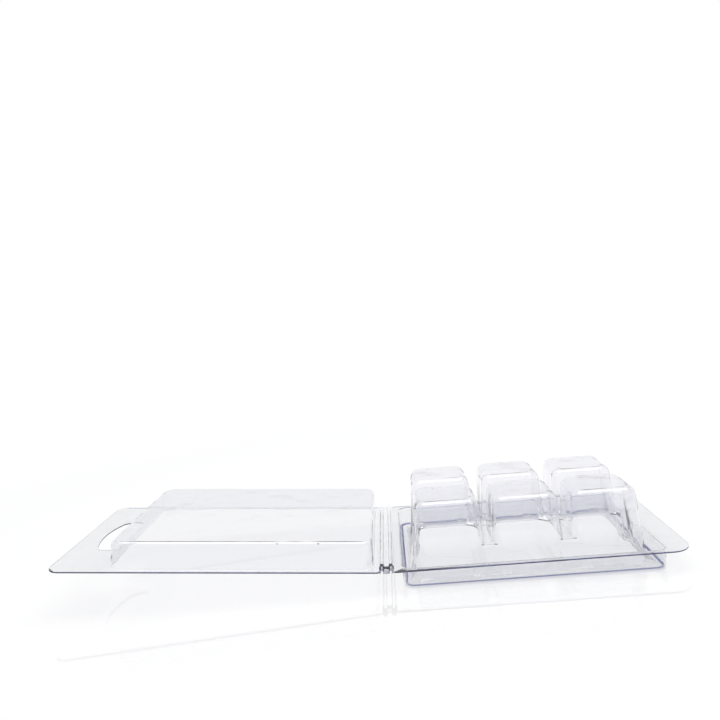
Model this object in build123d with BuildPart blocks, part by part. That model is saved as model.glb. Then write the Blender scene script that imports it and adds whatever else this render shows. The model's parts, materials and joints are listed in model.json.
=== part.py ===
from build123d import *
import math
import os

# Clear plastic clamshell for six tablets, formed from one sheet and lying open.
# The tray is on +X, the lid on -X, and both have their outer faces up.
# While a half is made, X runs from its fold edge, Z = 0 is the underside of its
# flange, and Y = 0 is the middle of its depth. Millimetres and degrees.

SHEET = 0.4                # sheet thickness
PACK_DEPTH = 73.0          # flange, front edge to back edge
TRAY_LENGTH = 107.0        # tray flange, fold edge to far end
LID_LENGTH = 122.0         # lid flange, fold edge to the end of the hang tab
FLANGE_CORNER = 8.0        # plan corners at the tray's far end
TAB_CORNER = 5.0           # plan corners of the hang tab
FOLD_CORNER = 1.0          # plan corners beside the fold

# Lid dome
DOME_START = 2.0           # fold edge to the foot of the dome
DOME_LENGTH = 97.7         # foot of the dome, outside
DOME_WIDTH = 69.6
DOME_HEIGHT = 10.3         # above the flange underside
DOME_DRAFT = 3.0
DOME_CORNER = 5.0          # plan corner at the foot
DOME_EDGE = 1.8            # rounding of the top edge
DOME_FOOT = 0.5            # rounding where the dome meets the flange

# Tray plug, the ring that pushes into the dome
PLUG_FIT = 0.5             # clearance between plug and dome, all round
PLUG_DEPTH = 7.0           # below the flange underside
PLUG_DRAFT = 3.0
PLUG_CREST = 1.2           # inner rounding of the crest
PLUG_LIP = 0.9             # rounding where the flange turns down

# Tray cavities
COLUMNS = 3
ROWS = 2
CAVITY_PITCH = 29.3
CAVITY_TOP = 23.4          # square, at the flat end, outside
CAVITY_HEIGHT = 20.3       # above the flange top
CAVITY_DRAFT = 4.8
CAVITY_CORNER = 4.4        # plan corner at the flat end
CAVITY_EDGE = 3.2          # rounding of the flat end
SADDLE_HEIGHT = 3.0        # bridges between cavities, above the flange top
SADDLE_INSET = 1.5         # bridges stand back from the outer walls
SADDLE_EDGE = 1.2

# Hang hole, with an arched outer side
HOLE_WIDTH = 31.0
HOLE_LENGTH = 11.0
HOLE_MARGIN = 7.9          # hole to the end of the tab
HOLE_ARCH = 3.3            # rise of the arched side
HOLE_CORNER = 3.0

# Fold
FOLD_WIDTH = 5.4           # strip between the two flanges
FOLD_GAP = 0.15            # strip to the lid's edge
PIVOT_DROP = 0.25          # fold axis below the flange underside
OPEN_TILT = 4.3            # how far the opened lid stands up from the tray's level
BEAD_WIDTH = 1.3           # two raised beads that fold easily
BEAD_HEIGHT = 0.9
BEAD_INSET = 0.45

BELOW = PLUG_DEPTH + 4.0   # depth of the working blocks under the flange
OVERSIZE = 1.0             # the inner block's outline runs past the sheet


def plan_shift(grow, draft):
    """Plan offset, at a level lowered by grow, of a drafted wall offset by grow."""
    angle = math.radians(draft)
    return grow * (1 - math.sin(angle)) / math.cos(angle)


def rounded_block(centre, length, width, corner, low, height, draft, edge):
    """A drafted block with rounded plan corners and a rounded upper edge."""
    with BuildPart() as block:
        with BuildSketch(Plane.XY.offset(low)):
            with Locations(centre):
                RectangleRounded(length, width, corner)
        extrude(amount=height, taper=draft)
        fillet(block.faces().sort_by(Axis.Z)[-1].edges(), edge)
    return block.part


def flange_block(length, end_corner, top, oversize):
    """The flange outline as a deep block whose upper face is one side of the sheet."""
    with BuildPart() as block:
        with BuildSketch(Plane.XY.offset(-BELOW)) as outline:
            with Locations((length / 2, 0)):
                Rectangle(length, PACK_DEPTH)
            fillet(outline.vertices().group_by(Axis.X)[0], FOLD_CORNER)
            fillet(outline.vertices().group_by(Axis.X)[-1], end_corner)
            if oversize:
                offset(amount=oversize)
        extrude(amount=BELOW + top)
    return block.part


def inner_loop(part, level):
    """Edges where a formed shape meets the flat flange at the given level."""
    flat = part.faces().filter_by(Axis.Z).filter_by(lambda face: abs(face.center().Z - level) < 0.01)
    widest = flat.sort_by(SortBy.AREA)[-1]
    return widest.inner_wires()[0].edges()


# Places shared by the two halves
middle = DOME_START + DOME_LENGTH / 2
plug_length = DOME_LENGTH - 2 * (SHEET + PLUG_FIT)
plug_width = DOME_WIDTH - 2 * (SHEET + PLUG_FIT)
plug_corner = DOME_CORNER - SHEET - PLUG_FIT
plug_taper = PLUG_DEPTH * math.tan(math.radians(PLUG_DRAFT))
cavity_rise = PLUG_DEPTH + CAVITY_HEIGHT
cavity_spread = cavity_rise * math.tan(math.radians(CAVITY_DRAFT))
cavity_foot = CAVITY_TOP + 2 * cavity_spread
saddle_rise = PLUG_DEPTH + SADDLE_HEIGHT
saddle_length = (COLUMNS - 1) * CAVITY_PITCH + cavity_foot - 2 * SADDLE_INSET
saddle_width = (ROWS - 1) * CAVITY_PITCH + cavity_foot - 2 * SADDLE_INSET
cavity_places = [
    (middle + (column - (COLUMNS - 1) / 2) * CAVITY_PITCH, (row - (ROWS - 1) / 2) * CAVITY_PITCH)
    for column in range(COLUMNS)
    for row in range(ROWS)
]


def tray_side(grow, oversize):
    """The solid under one side of the tray's sheet: grow is 0 outside, SHEET inside."""
    floor = SHEET - PLUG_DEPTH - grow
    shift = plan_shift(grow, PLUG_DRAFT)
    with BuildPart(mode=Mode.PRIVATE) as pocket:
        with BuildSketch(Plane.XY.offset(floor)):
            with Locations((middle, 0)):
                RectangleRounded(
                    plug_length - 2 * plug_taper - 2 * SHEET + 2 * shift,
                    plug_width - 2 * plug_taper - 2 * SHEET + 2 * shift,
                    plug_corner - SHEET + shift,
                )
        extrude(amount=PLUG_DEPTH + OVERSIZE, taper=-PLUG_DRAFT)
        fillet(pocket.faces().sort_by(Axis.Z)[0].edges(), PLUG_CREST + grow)
    with BuildPart() as side:
        add(flange_block(TRAY_LENGTH, FLANGE_CORNER, SHEET - grow, oversize))
        add(pocket.part, mode=Mode.SUBTRACT)
        fillet(inner_loop(side.part, SHEET - grow), PLUG_LIP - grow)
        saddle_shift = plan_shift(grow, CAVITY_DRAFT)
        add(rounded_block(
            (middle, 0), saddle_length - 2 * saddle_shift, saddle_width - 2 * saddle_shift,
            CAVITY_CORNER + cavity_spread - saddle_shift, floor, saddle_rise, CAVITY_DRAFT,
            SADDLE_EDGE - grow,
        ))
        for place in cavity_places:
            add(rounded_block(
                place, cavity_foot - 2 * saddle_shift, cavity_foot - 2 * saddle_shift,
                CAVITY_CORNER + cavity_spread - saddle_shift, floor, cavity_rise, CAVITY_DRAFT,
                CAVITY_EDGE - grow,
            ))
    return side.part


def lid_side(grow, oversize):
    """The solid under one side of the lid's sheet: grow is 0 outside, SHEET inside."""
    shift = plan_shift(grow, DOME_DRAFT)
    with BuildPart() as side:
        add(flange_block(LID_LENGTH, TAB_CORNER, SHEET - grow, oversize))
        add(rounded_block(
            (middle, 0), DOME_LENGTH - 2 * shift, DOME_WIDTH - 2 * shift, DOME_CORNER - shift,
            SHEET - grow, DOME_HEIGHT - SHEET, DOME_DRAFT, DOME_EDGE - grow,
        ))
        fillet(inner_loop(side.part, SHEET - grow), DOME_FOOT + grow)
    return side.part


# Where the halves stand: the plug's crest is the lowest edge, the fold axis at X = 0
fold_level = PLUG_DEPTH - PIVOT_DROP
tilt = math.radians(OPEN_TILT)
lid_reach = (LID_LENGTH + FOLD_WIDTH / 2) * math.cos(tilt) - PIVOT_DROP * math.sin(tilt)
tray_reach = TRAY_LENGTH + FOLD_WIDTH / 2
fold_x = (lid_reach - tray_reach) / 2
tray_frame = Location((fold_x + FOLD_WIDTH / 2, 0, PLUG_DEPTH))
lid_frame = Location((fold_x, 0, fold_level), (0, OPEN_TILT, 0))

with BuildPart() as base_tray:
    add(tray_side(0, 0))
    add(tray_side(SHEET, OVERSIZE), mode=Mode.SUBTRACT)
base_tray.part = base_tray.part.moved(tray_frame)
base_tray.part.label = "base_tray"

hole_outer = LID_LENGTH - HOLE_MARGIN
hole_inner = hole_outer - HOLE_LENGTH
hole_shoulder = hole_outer - HOLE_ARCH
with BuildPart() as lid:
    add(lid_side(0, 0))
    add(lid_side(SHEET, OVERSIZE), mode=Mode.SUBTRACT)
    with BuildSketch(Plane.XY.offset(-OVERSIZE)) as hang_hole:
        with BuildLine():
            ThreePointArc(
                (hole_shoulder, -HOLE_WIDTH / 2),
                (hole_outer, 0),
                (hole_shoulder, HOLE_WIDTH / 2),
            )
            Polyline(
                (hole_shoulder, HOLE_WIDTH / 2),
                (hole_inner, HOLE_WIDTH / 2),
                (hole_inner, -HOLE_WIDTH / 2),
                (hole_shoulder, -HOLE_WIDTH / 2),
            )
        make_face()
        fillet(hang_hole.vertices(), HOLE_CORNER)
    extrude(amount=SHEET + 2 * OVERSIZE, mode=Mode.SUBTRACT)
    mirror(about=Plane.YZ, mode=Mode.REPLACE)
lid_shift = Location((-FOLD_WIDTH / 2, 0, PIVOT_DROP))
lid.part = lid.part.moved(lid_frame * lid_shift)
lid.part.label = "lid"

# The fold strip: one band of the sheet with two raised beads
strip_end = -FOLD_WIDTH / 2 + FOLD_GAP
bead_rise = BEAD_HEIGHT + SHEET
bead_places = [
    -FOLD_WIDTH / 2 + BEAD_INSET + BEAD_WIDTH / 2,
    FOLD_WIDTH / 2 - BEAD_INSET - BEAD_WIDTH / 2,
]
with BuildPart() as hinge_strip:
    with BuildSketch(Plane.XZ) as section:
        with Locations(((FOLD_WIDTH / 2 + strip_end) / 2, SHEET / 2)):
            Rectangle(FOLD_WIDTH / 2 - strip_end, SHEET)
        for bead in bead_places:
            with Locations((bead, bead_rise / 2)):
                Rectangle(BEAD_WIDTH, bead_rise)
        for bead in bead_places:
            with Locations((bead, BEAD_HEIGHT / 2)):
                Rectangle(BEAD_WIDTH - 2 * SHEET, BEAD_HEIGHT, mode=Mode.SUBTRACT)
        fillet(section.vertices().group_by(Axis.Y)[-1], BEAD_WIDTH * 0.3)
    extrude(amount=PACK_DEPTH / 2, both=True)
hinge_strip.part = hinge_strip.part.moved(Location((fold_x, 0, PLUG_DEPTH)))
hinge_strip.part.label = "hinge_strip"

os.makedirs("parts", exist_ok=True)
export_step(base_tray.part, "parts/base_tray.step")
export_step(lid.part, "parts/lid.step")
export_step(hinge_strip.part, "parts/hinge_strip.step")

for piece in (base_tray.part, lid.part, hinge_strip.part):
    box = piece.bounding_box()
    print(piece.label, len(piece.solids()), round(piece.volume, 1), box.min, box.max)
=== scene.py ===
# %% [markdown]
# # A clear clamshell pack
# The pack is one sheet of clear PET. It was warmed, sucked over a mould and cut out with a steel
# rule. It lies open: a tray with six pockets on the right, a flat lid with a hang tab on the left.
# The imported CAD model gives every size, so this script first loads it, keeps its box for later,
# and then only adds looks.

# %% Load the fixed frame
import bmesh
import bpy
import json
import math
from mathutils import Euler, Matrix, Vector

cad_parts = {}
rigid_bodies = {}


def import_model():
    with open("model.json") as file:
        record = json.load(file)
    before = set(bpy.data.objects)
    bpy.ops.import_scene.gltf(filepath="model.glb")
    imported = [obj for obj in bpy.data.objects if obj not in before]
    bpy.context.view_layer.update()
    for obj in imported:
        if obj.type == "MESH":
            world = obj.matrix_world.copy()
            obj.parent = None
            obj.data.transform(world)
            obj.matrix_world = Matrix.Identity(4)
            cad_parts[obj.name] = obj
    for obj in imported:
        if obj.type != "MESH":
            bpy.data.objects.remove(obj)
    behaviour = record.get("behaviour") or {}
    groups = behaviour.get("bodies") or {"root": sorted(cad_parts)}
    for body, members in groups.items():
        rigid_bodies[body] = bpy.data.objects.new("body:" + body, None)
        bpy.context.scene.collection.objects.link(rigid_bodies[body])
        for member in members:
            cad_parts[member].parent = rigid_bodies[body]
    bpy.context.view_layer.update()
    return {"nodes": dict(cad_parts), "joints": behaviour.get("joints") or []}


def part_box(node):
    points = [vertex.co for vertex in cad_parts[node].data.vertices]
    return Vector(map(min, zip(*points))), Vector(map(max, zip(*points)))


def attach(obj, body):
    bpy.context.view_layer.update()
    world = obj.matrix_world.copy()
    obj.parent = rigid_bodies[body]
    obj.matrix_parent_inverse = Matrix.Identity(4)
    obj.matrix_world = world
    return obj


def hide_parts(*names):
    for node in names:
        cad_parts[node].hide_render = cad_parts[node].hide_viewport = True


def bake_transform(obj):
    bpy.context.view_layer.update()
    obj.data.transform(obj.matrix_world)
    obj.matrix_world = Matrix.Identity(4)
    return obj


for leftover in list(bpy.data.objects):
    bpy.data.objects.remove(leftover)
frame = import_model()
MM = 0.001


# %% [markdown]
# ## Colours and nodes
# Colours are written as a painter would read them, in sRGB hex, and one function turns them into
# the linear values that the renderer mixes. A second function adds a shader node with its
# settings and its links, so that each material below reads as a short list. An input is called
# by its name, with _ for a space, or by its number, as in i0, where two share a name.

# %% Helpers for colours and shader nodes
def linear(hex_colour):
    """An sRGB hex colour as linear red, green and blue, with a full alpha."""
    channels = [int(hex_colour[i:i + 2], 16) / 255 for i in (1, 3, 5)]
    return [c / 12.92 if c <= 0.04045 else ((c + 0.055) / 1.055) ** 2.4 for c in channels] + [1.0]


def node(tree, kind, settings=(), **inputs):
    """Adds a node. Inputs are values, or sockets of other nodes that are linked in."""
    made = tree.nodes.new(kind)
    for name, value in dict(settings).items():
        setattr(made, name, value)
    for name, value in inputs.items():
        key = int(name[1:]) if name[1:].isdigit() and name[0] == "i" else name.replace("_", " ")
        if isinstance(value, bpy.types.NodeSocket):
            tree.links.new(value, made.inputs[key])
        else:
            made.inputs[key].default_value = value
    return made


def two_colour_ramp(tree, factor, low_at, low_colour, high_at, high_colour):
    """A ramp from one colour to another, and its colour socket."""
    ramp = node(tree, "ShaderNodeValToRGB", Fac=factor)
    low, high = ramp.color_ramp.elements
    low.position, high.position = low_at, high_at
    low.color, high.color = linear(low_colour), linear(high_colour)
    return ramp.outputs["Color"]


def empty_material(name):
    """A node material with nothing but its output."""
    material = bpy.data.materials.new(name)
    material.use_nodes = True
    material.node_tree.nodes.clear()
    return material, node(material.node_tree, "ShaderNodeOutputMaterial")


print("helpers ready, mid grey is", [round(c, 3) for c in linear("#808080")])


# %% [markdown]
# ## The skin of the clear sheet
# Rigid PET is glossy, but never as flat as glass. Forming leaves slow waves a few millimetres
# long, and a very fine orange-peel where the warm sheet touched the mould. Both are far too
# shallow to model, so they are bump from two noise textures. The slow one also moves the
# roughness a little, which breaks up the reflections.

# %% Waves, peel and haze
WAVE_LENGTH = 14 * MM
WAVE_STRENGTH = 0.25
WAVE_DEPTH = 0.6 * MM
PEEL_SIZE = 0.9 * MM
PEEL_STRENGTH = 0.05
PEEL_DEPTH = 0.02 * MM
HAZE_FROM = 0.3                # where in the waves the haze starts and ends
HAZE_TO = 0.7
POLISHED = 0.015
HAZY = 0.05


def formed_skin(tree, place):
    """The roughness and the normal of sheet that touched a mould."""
    waves = node(tree, "ShaderNodeTexNoise", Vector=place, Scale=1 / WAVE_LENGTH, Detail=1.0)
    peel = node(tree, "ShaderNodeTexNoise", Vector=place, Scale=1 / PEEL_SIZE, Detail=2.0)
    slow = node(
        tree, "ShaderNodeBump", Height=waves.outputs["Fac"], Strength=WAVE_STRENGTH,
        Distance=WAVE_DEPTH,
    )
    fine = node(
        tree, "ShaderNodeBump", Height=peel.outputs["Fac"], Strength=PEEL_STRENGTH,
        Distance=PEEL_DEPTH, Normal=slow.outputs["Normal"],
    )
    haze = node(
        tree, "ShaderNodeMapRange", Value=waves.outputs["Fac"],
        i1=HAZE_FROM, i2=HAZE_TO, i3=POLISHED, i4=HAZY,
    )
    return haze.outputs["Result"], fine.outputs["Normal"]


# %% [markdown]
# ## The tint of the clear sheet
# The plastic holds back a little light, so walls seen through walls turn a cool grey. Higher up
# the tray, from the lid's tab inwards and with height on the fold it is painted paler, painted
# light for the lit look of the upper sheet, and beside a long cut the light that leaks out makes
# it bluer. Both follow the place on the pack, so they are ranges on the Object coordinates.

# %% Tint of the sheet
PET_TINT = "#EFF0F2"           # what the full sheet lets through
PET_PAINTED_PALE = "#FAFAFC"          # painted light: the paler tint painted on the upper and inner sheet
CUT_GLOW = "#767DB4"           # light that leaks out next to a long cut
PACK_HALF = 36.5 * MM          # half the depth of the pack
CUT_BAND = 0.7 * MM            # how far in from a long cut the sheet is deeper in colour


def sheet_tint(tree, place, next_to_cut, pale_axis, full_at, palest_at, how_pale):
    """Painted paler along an axis as painted light, from full tint to palest, bluer at a cut."""
    along = node(tree, "ShaderNodeSeparateXYZ", Vector=place)
    # painted light: the share of the paler tint along the axis
    paler_share = node(
        tree, "ShaderNodeMapRange", Value=along.outputs[pale_axis],
        i1=full_at, i2=palest_at, i3=0.0, i4=how_pale,
    )
    wall = node(
        tree, "ShaderNodeMix", {"data_type": "RGBA"}, Factor=paler_share.outputs["Result"],
        i6=linear(PET_TINT), i7=linear(PET_PAINTED_PALE),
    )
    from_middle = node(tree, "ShaderNodeMath", {"operation": "ABSOLUTE"}, i0=along.outputs["Y"])
    near_cut = node(
        tree, "ShaderNodeMapRange", Value=from_middle.outputs["Value"],
        i1=PACK_HALF - CUT_BAND, i2=PACK_HALF,
    )
    tint = node(
        tree, "ShaderNodeMix", {"data_type": "RGBA"}, Factor=near_cut.outputs["Result"],
        i6=wall.outputs[2], i7=linear(next_to_cut),
    )
    return tint.outputs[2]


# %% [markdown]
# ## Clear PET
# One Principled shader lets all light through and bends it with an index of 1.57. The renderer
# takes glass for solid where it looks for a lamp, and the pack would throw a black shadow. So
# for shadow rays only, the sheet is a plain filter that dims the lamp a little. The tray is
# painted paler with height, the lid from its tab inwards and the fold too, as painted light.

# %% Clear PET for tray, lid and fold
PET_IOR = 1.57
PET_SHADE = "#E9E9EC"          # how little one wall dims a lamp behind it


def clear_pet(name, next_to_cut, pale_axis, full_at, palest_at, how_pale):
    material, output = empty_material(name)
    tree = material.node_tree
    place = node(tree, "ShaderNodeTexCoord").outputs["Object"]
    roughness, normal = formed_skin(tree, place)
    tint = sheet_tint(tree, place, next_to_cut, pale_axis, full_at, palest_at, how_pale)
    sheet = node(
        tree, "ShaderNodeBsdfPrincipled", Base_Color=tint, IOR=PET_IOR,
        Transmission_Weight=1.0, Roughness=roughness, Normal=normal,
    )
    ray = node(tree, "ShaderNodeLightPath")
    passing = node(tree, "ShaderNodeBsdfTransparent", Color=linear(PET_SHADE))
    both = node(
        tree, "ShaderNodeMixShader", i0=ray.outputs["Is Shadow Ray"],
        i1=sheet.outputs["BSDF"], i2=passing.outputs["BSDF"],
    )
    tree.links.new(both.outputs["Shader"], output.inputs["Surface"])
    return material


# Each half is painted paler along an axis as painted light: from full tint to palest, and how
# much.
tray_pet = clear_pet("clear_pet_tray", CUT_GLOW, "Z", 8 * MM, 15 * MM, how_pale=1.0)
lid_pet = clear_pet("clear_pet_lid", CUT_GLOW, "X", -97 * MM, -91 * MM, how_pale=0.6)
fold_pet = clear_pet("clear_pet_fold", PET_PAINTED_PALE, "Z", 0.0, 7 * MM, how_pale=0.8)
print("sheet", tray_pet.name, lid_pet.name, fold_pet.name)


# %% [markdown]
# ## The cut edge
# Where the steel rule cut the sheet, light that has run along inside it comes out. It has passed
# through centimetres of plastic by then, so the narrow edge looks a dark navy blue, slightly
# rough, with a faint variation along its length. The tab has the longest stretch of flat sheet
# behind its cut, and the darkest edge. The cut at the fold's ends is painted pale: painted light.

# %% Cut edge of the sheet
EDGE_DARK = "#0D143E"
EDGE_LIGHT = "#565C92"
# painted light: the pale tones painted on the cut at the fold's ends
FOLD_EDGE_DARK = "#9DA1B4"
FOLD_EDGE_LIGHT = "#D5D8E2"
EDGE_PATCH = 9 * MM
EDGE_ROUGH = 0.4
EDGE_CLEAR = 0.5               # how much of the light gets through the rough cut
DARK_AT = 0.40                 # where in the noise the two tones lie
LIGHT_AT = 0.75
TAB_START = -96 * MM           # the tab lies beyond this, past the dome
TAB_DEEPER = -0.3              # how far the tab's cut shifts to the dark end


def cut_edge(name, dark, light):
    material, output = empty_material(name)
    tree = material.node_tree
    place = node(tree, "ShaderNodeTexCoord").outputs["Object"]
    patches = node(tree, "ShaderNodeTexNoise", Vector=place, Scale=1 / EDGE_PATCH, Detail=2.0)
    along = node(tree, "ShaderNodeSeparateXYZ", Vector=place)
    tab = node(
        tree, "ShaderNodeMapRange", Value=along.outputs["X"],
        i1=TAB_START, i2=TAB_START + 2 * EDGE_PATCH, i3=TAB_DEEPER, i4=0.0,
    )
    shade = node(
        tree, "ShaderNodeMath", {"operation": "ADD"},
        i0=patches.outputs["Fac"], i1=tab.outputs["Result"],
    )
    colour = two_colour_ramp(tree, shade.outputs["Value"], DARK_AT, dark, LIGHT_AT, light)
    cut = node(
        tree, "ShaderNodeBsdfPrincipled", Base_Color=colour, IOR=PET_IOR,
        Roughness=EDGE_ROUGH, Transmission_Weight=EDGE_CLEAR,
    )
    tree.links.new(cut.outputs["BSDF"], output.inputs["Surface"])
    return material


edge = cut_edge("pet_cut_edge", EDGE_DARK, EDGE_LIGHT)
# The fold's cut is painted pale, as painted light.
fold_edge = cut_edge("pet_fold_edge_painted_light", FOLD_EDGE_DARK, FOLD_EDGE_LIGHT)
print("edges", edge.name, fold_edge.name)


# %% [markdown]
# ## The tight bend
# At the foot of the tray the sheet turns back on itself in a bend hardly wider than it is thick.
# Light is caught in there, so the foot shows as a thin dusky line all round.

# %% Tight bend at the tray's foot
BEND_TINT = "#6A70A0"
BEND_ROUGH = 0.12


def tight_bend():
    material, output = empty_material("pet_tight_bend")
    tree = material.node_tree
    dusky = node(
        tree, "ShaderNodeBsdfPrincipled", Base_Color=linear(BEND_TINT), IOR=PET_IOR,
        Transmission_Weight=1.0, Roughness=BEND_ROUGH,
    )
    tree.links.new(dusky.outputs["BSDF"], output.inputs["Surface"])
    return material


bend = tight_bend()
print("bend", bend.name)


# %% [markdown]
# ## Which face gets which finish
# The faces of the cut are square to the sheet and as tall as the sheet is thick, which no other
# face is. The tight bend is what leans close to the table. So a look at the normal and the
# height of a face tells its finish.

# %% Tell cut and bend from plain sheet
SHEET = 0.4 * MM
SHEET_SPARE = 1.05             # a cut face may be this many times the sheet tall
UPRIGHT = 0.02                 # how little an upright face leans
FOOT = 0.7 * MM                # height of the tight bend over the table
BEND_STEEP = 0.2               # a face belongs to the bend when it leans between these
BEND_FLAT = 0.98
PLAIN, CUT, BEND = range(3)


def is_cut(face, up):
    """True for a face that the steel rule cut."""
    heights = [vert.co.dot(up) for vert in face.verts]
    as_tall_as_sheet = max(heights) - min(heights) < SHEET_SPARE * SHEET
    return abs(face.normal.dot(up)) < UPRIGHT and as_tall_as_sheet


def is_bend(face):
    """True for a face of the tight bend at the foot, neither upright nor lying flat."""
    lean = abs(face.normal.z)
    return face.calc_center_median().z < FOOT and BEND_STEEP < lean < BEND_FLAT


def finish_of(face, up):
    if is_cut(face, up):
        return CUT
    return BEND if is_bend(face) else PLAIN


# %% [markdown]
# ## Smooth copies of the formed halves
# A CAD node is loose triangles. A copy is merged into one skin, so that light bends smoothly over
# its rounded corners, and the flat areas keep their own normals by weighting each corner by area.
# The copies are hidden from diffuse rays, because a table that is lit through glass walls would
# only turn grainy.

# %% Copy a CAD half and dress it
MERGE = 0.002 * MM
CREASE = math.radians(35)


def dressed_copy(node_name, piece_name, body, up, pet):
    mesh = frame["nodes"][node_name].data.copy()
    mesh.materials.clear()
    for finish in (pet, edge, bend):
        mesh.materials.append(finish)
    skin = bmesh.new()
    skin.from_mesh(mesh)
    bmesh.ops.remove_doubles(skin, verts=skin.verts, dist=MERGE)
    skin.normal_update()
    for face in skin.faces:
        face.smooth = True
        face.material_index = finish_of(face, up)
    skin.to_mesh(mesh)
    skin.free()
    mesh.set_sharp_from_angle(angle=CREASE)
    piece = bpy.data.objects.new(piece_name, mesh)
    bpy.context.scene.collection.objects.link(piece)
    weighted = piece.modifiers.new("flat_areas", "WEIGHTED_NORMAL")
    weighted.keep_sharp = True
    piece.visible_diffuse = False
    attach(piece, body)
    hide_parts(node_name)
    counts = [sum(1 for p in mesh.polygons if p.material_index == i) for i in (PLAIN, CUT, BEND)]
    print(piece_name, "faces of sheet, cut and bend:", counts)


# %% [markdown]
# ## Tray and lid
# The tray lies level. The lid springs up a few degrees from the fold, as such a pack does when it
# is let go, so its own upward direction leans.

# %% Dress tray and lid
OPEN_TILT = math.radians(4.3)
tray_up = Vector((0, 0, 1))
lid_up = Vector((math.sin(OPEN_TILT), 0, math.cos(OPEN_TILT)))
dressed_copy("base_tray", "tray_shell", "base", tray_up, tray_pet)
dressed_copy("lid", "lid_shell", "lid", lid_up, lid_pet)


# %% [markdown]
# ## The fold strip
# Between the halves the sheet carries two raised beads. They make narrow soft lines that bend
# first, so the pack folds there. The strip is a grid that is raised over the beads and given the
# thickness of the sheet. It blends from the tray to the lid, because it is what really bends.

# %% Section of the fold strip
FOLD_HALF = 2.7 * MM
BEAD_PLACES = (-1.6 * MM, 1.6 * MM)
BEAD_HALF = 0.62 * MM
BEAD_RISE = 0.95 * MM
BEAD_SQUARENESS = 4            # 2 would be a half circle, and more has a flatter top


def strip_height(across):
    """Height of the strip's mid-surface over the flange at a distance from the fold."""
    rise = 0.0
    for bead in BEAD_PLACES:
        near = abs(across - bead) / BEAD_HALF
        if near < 1:
            rise = max(rise, BEAD_RISE * (1 - near ** BEAD_SQUARENESS) ** 0.5)
    return rise


print("bead rise in mm", round(strip_height(BEAD_PLACES[1]) / MM, 2))

# %% Fold strip
STRIP_STEPS = 72
DEPTH_STEPS = 12
pivot = Vector(frame["joints"][0]["pos_m"])


def strip_band():
    """The bent mid-surface of the strip, swept over the depth of the pack."""
    low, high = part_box("hinge_strip")
    flange = low.z + SHEET / 2
    band = bmesh.new()
    bmesh.ops.create_grid(band, x_segments=STRIP_STEPS, y_segments=DEPTH_STEPS, size=1.0)
    for vert in band.verts:
        across = vert.co.x * FOLD_HALF
        lean = max(0.0, -across) * math.sin(OPEN_TILT)
        height = flange + strip_height(across) + lean
        vert.co = Vector((pivot.x + across, vert.co.y * high.y, height))
    bmesh.ops.recalc_face_normals(band, faces=band.faces)
    for face in band.faces:
        face.smooth = True
    return band


def fold_strip():
    mesh = bpy.data.meshes.new("fold_strip")
    band = strip_band()
    band.to_mesh(mesh)
    band.free()
    mesh.materials.append(fold_pet)
    mesh.materials.append(fold_edge)
    piece = bpy.data.objects.new("fold_strip", mesh)
    piece.visible_diffuse = False
    bpy.context.scene.collection.objects.link(piece)
    wall = piece.modifiers.new("sheet", "SOLIDIFY")
    wall.thickness = SHEET
    wall.offset = 0
    wall.use_even_offset = True
    wall.material_offset_rim = 1
    bpy.context.view_layer.objects.active = piece
    with bpy.context.temp_override(object=piece, active_object=piece, selected_objects=[piece]):
        bpy.ops.object.modifier_apply(modifier="sheet")
    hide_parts("hinge_strip")
    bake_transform(piece)
    print("fold_strip", len(piece.data.polygons), "faces")


fold_strip()


# %% [markdown]
# ## Vent pips
# The mould sucks air out through holes a third of a millimetre wide, and the warm sheet is drawn
# a little way into each. They stand as tiny pips: one at two corners of every pocket's end, and
# two on the front shoulder of the lid. Each is a squat ball, sunk into the sheet.

# %% Make a group of pips
PIP_WIDE = 0.55 * MM
PIP_HIGH = 0.22 * MM
PIP_ROUND = 12                 # faces around a pip
PIP_RINGS = 8


def pip_piece(piece_name, body, places):
    pips = bmesh.new()
    squat = Matrix.Diagonal((PIP_WIDE / 2, PIP_WIDE / 2, PIP_HIGH, 1))
    for place in places:
        bmesh.ops.create_uvsphere(
            pips, u_segments=PIP_ROUND, v_segments=PIP_RINGS, radius=1.0,
            matrix=Matrix.Translation(place) @ squat,
        )
    for face in pips.faces:
        face.smooth = True
    mesh = bpy.data.meshes.new(piece_name)
    pips.to_mesh(mesh)
    pips.free()
    mesh.materials.append(edge)
    piece = bpy.data.objects.new(piece_name, mesh)
    bpy.context.scene.collection.objects.link(piece)
    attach(piece, body)
    print(piece_name, len(places), "pips")


# %% [markdown]
# ## Pips on the pockets
# The pockets stand in three columns and two rows around the tray's middle, which the frame gives,
# and their ends are the top of the tray's box.

# %% Pips on the pockets
POCKET_PITCH = 29.3 * MM
POCKET_INSET = 6.5 * MM        # from a pocket's middle to a pip
SUNK = 0.15 * MM               # how deep a pip's middle lies under the surface
tray_low, tray_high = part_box("base_tray")
tray_middle = (tray_low + tray_high) / 2
pocket_tops = [
    Vector((tray_middle.x + column * POCKET_PITCH, row * POCKET_PITCH, tray_high.z - SUNK))
    for column in (-1, 0, 1)
    for row in (-0.5, 0.5)
]
pip_piece("vent_pips_tray", "base", [
    top + Vector((side * POCKET_INSET, -side * POCKET_INSET, 0))
    for top in pocket_tops
    for side in (-1, 1)
])


# %% [markdown]
# ## Pips on the lid
# The lid leans, so a place on it is worked out from the pivot: so far out along the lid, and so
# far up square to it.

# %% Pips on the lid
DOME_PIPS = (22 * MM, 37 * MM)  # past the edge of the fold
SHOULDER_OUT = 33.75 * MM
SHOULDER_UP = 9.8 * MM
PIVOT_DROP = 0.25 * MM         # the fold's axis lies this far under the sheet
lid_outward = Vector((-math.cos(OPEN_TILT), 0, math.sin(OPEN_TILT)))


def on_lid(past_fold, y, height):
    """A point of the open lid, from its distance past the fold and its height on the sheet."""
    along = lid_outward * (FOLD_HALF + past_fold)
    return pivot + along + lid_up * (PIVOT_DROP + height) + Vector((0, y, 0))


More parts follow.
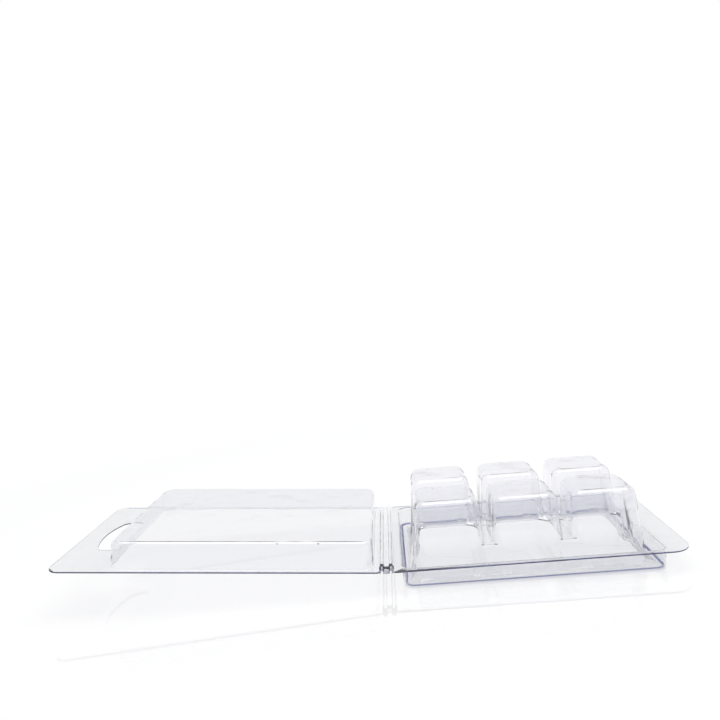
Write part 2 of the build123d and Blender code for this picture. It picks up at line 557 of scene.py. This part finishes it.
pip_piece("vent_pips_lid", "lid", [
    on_lid(past_fold, -SHOULDER_OUT, SHOULDER_UP) for past_fold in DOME_PIPS
])


# %% [markdown]
# ## Floor
# The pack lies on a plain white table that mirrors it faintly. Far from the pack the lamp no
# longer reaches the table, so a little glow grows with distance, and the table meets the white
# room without a line. Near the pack it stays low, so that the table keeps the pack's shadow.

# %% Floor
FLOOR_SIZE = 3.0
FLOOR_WHITE = "#DCDCDC"
FLOOR_GLOW = 0.11              # near the pack
FLOOR_FADE = 0.28              # how much more the far floor glows
FADE_START = 0.25
FADE_END = 1.0
FLOOR_GLOSS = 1.0
FLOOR_IOR = 1.7
FLOOR_ROUGH = 0.06


def white_table():
    material, output = empty_material("white_table")
    tree = material.node_tree
    lit = node(
        tree, "ShaderNodeBsdfPrincipled", Base_Color=linear(FLOOR_WHITE), Roughness=FLOOR_ROUGH,
        Specular_IOR_Level=FLOOR_GLOSS, IOR=FLOOR_IOR,
    )
    place = node(tree, "ShaderNodeTexCoord").outputs["Object"]
    away = node(tree, "ShaderNodeVectorMath", {"operation": "LENGTH"}, i0=place)
    far_glow = node(
        tree, "ShaderNodeMapRange", Value=away.outputs["Value"],
        i1=FADE_START, i2=FADE_END, i3=FLOOR_GLOW, i4=FLOOR_GLOW + FLOOR_FADE,
    )
    glow = node(
        tree, "ShaderNodeEmission", Color=linear("#FFFFFF"), Strength=far_glow.outputs["Result"],
    )
    both = node(tree, "ShaderNodeAddShader", i0=lit.outputs["BSDF"], i1=glow.outputs["Emission"])
    tree.links.new(both.outputs["Shader"], output.inputs["Surface"])
    return material


def table_top():
    slab = bmesh.new()
    bmesh.ops.create_grid(slab, x_segments=1, y_segments=1, size=FLOOR_SIZE)
    mesh = bpy.data.meshes.new("table_top")
    slab.to_mesh(mesh)
    slab.free()
    mesh.materials.append(white_table())
    floor = bpy.data.objects.new("table_top", mesh)
    bpy.context.scene.collection.objects.link(floor)
    print("table", FLOOR_SIZE * 2, "m wide")


table_top()


# %% [markdown]
# ## The room
# Clear plastic shows only what it bends and mirrors, so the room matters more than the lamp. It
# is white overhead and a cooler grey low down, which draws the upright walls in grey and leaves
# the rounded edges white. The camera, and what it sees through the sheet, gets plain white
# instead, and the gloss gets a share of it.

# %% World
GLOSSY_WHITE = 0.5             # how much of the white background the gloss mirrors
ROOM_LOW = "#C6C7CC"
ROOM_HIGH = "#FFFFFF"
ROOM_HIGH_AT = 0.75            # how steep a look has to be to meet plain white

world = bpy.data.worlds.new("white_room")
bpy.context.scene.world = world
world.use_nodes = True
sky = world.node_tree
sky.nodes.clear()
facing = node(sky, "ShaderNodeTexCoord")
steepness = node(sky, "ShaderNodeSeparateXYZ", Vector=facing.outputs["Generated"])
room = two_colour_ramp(sky, steepness.outputs["Z"], 0.0, ROOM_LOW, ROOM_HIGH_AT, ROOM_HIGH)
ray = node(sky, "ShaderNodeLightPath")
direct = node(
    sky, "ShaderNodeMath", {"operation": "MAXIMUM"},
    i0=ray.outputs["Is Camera Ray"], i1=ray.outputs["Is Transmission Ray"],
)
whiteness = node(
    sky, "ShaderNodeMath", {"operation": "MULTIPLY_ADD", "use_clamp": True},
    i0=ray.outputs["Is Glossy Ray"], i1=GLOSSY_WHITE, i2=direct.outputs["Value"],
)
shown = node(
    sky, "ShaderNodeMix", {"data_type": "RGBA"}, Factor=whiteness.outputs["Value"],
    i6=room, i7=linear(ROOM_HIGH),
)
background = node(sky, "ShaderNodeBackground", Color=shown.outputs[2], Strength=1.0)
node(sky, "ShaderNodeOutputWorld", Surface=background.outputs["Background"])
print("room of", len(sky.nodes), "nodes")


# %% [markdown]
# ## Lamp
# One wide softbox hangs behind and over the pack. It is weak: it only puts a long soft gleam on
# the pocket ends and gives the pack a faint shadow.

# %% Lamp
SOFTBOX_WIDE = 0.9
SOFTBOX_DEEP = 0.5
SOFTBOX_WATTS = 3.0
SOFTBOX_PLACE = (0.05, 0.15, 0.8)
SOFTBOX_LEAN = math.radians(-10)

lamp_data = bpy.data.lights.new("overhead_softbox", "AREA")
lamp_data.shape = "RECTANGLE"
lamp_data.size = SOFTBOX_WIDE
lamp_data.size_y = SOFTBOX_DEEP
lamp_data.energy = SOFTBOX_WATTS
lamp = bpy.data.objects.new("overhead_softbox", lamp_data)
bpy.context.scene.collection.objects.link(lamp)
lamp.location = SOFTBOX_PLACE
lamp.rotation_euler = Euler((SOFTBOX_LEAN, 0, 0))
print("lamp", SOFTBOX_WATTS, "W")


# %% [markdown]
# ## Camera
# A low view from the front, a hand's height over the table. It is turned a little to the left,
# tipped a little down and rolled, and the frame is slid down, so that the pack lies low in it
# while its upright lines stay upright.

# %% Camera
LENS_MM = 34.1
SENSOR_MM = 36.0
SLIDE = -0.0815
CAMERA_PLACE = Vector((14.5, -279.0, 108.6)) * MM
TURN = math.radians(1.93)
LIFT = math.radians(90 - 0.85)
ROLL = math.radians(-4.99)

camera_data = bpy.data.cameras.new("front_view")
camera_data.lens = LENS_MM
camera_data.sensor_width = SENSOR_MM
camera_data.shift_y = SLIDE
camera_data.clip_start = 10 * MM
camera = bpy.data.objects.new("front_view", camera_data)
bpy.context.scene.collection.objects.link(camera)
aim = Matrix.Rotation(TURN, 4, "Z") @ Matrix.Rotation(LIFT, 4, "X") @ Matrix.Rotation(ROLL, 4, "Z")
camera.matrix_world = Matrix.Translation(CAMERA_PLACE) @ aim
bpy.context.scene.camera = camera
print("camera at", [round(c / MM, 1) for c in CAMERA_PLACE])


# %% [markdown]
# ## Enough bounces for clear walls
# A look through both rows of pockets crosses a dozen walls, and each has two faces. With the
# usual number of bounces such a path would end early and turn black.

# %% View and bounces
CLEAR_BOUNCES = 40
GLOSSY_BOUNCES = 8

scene = bpy.context.scene
scene.view_settings.view_transform = "Standard"
scene.cycles.max_bounces = CLEAR_BOUNCES
scene.cycles.transmission_bounces = CLEAR_BOUNCES
scene.cycles.transparent_max_bounces = CLEAR_BOUNCES
scene.cycles.glossy_bounces = GLOSSY_BOUNCES
print("bounces", CLEAR_BOUNCES)
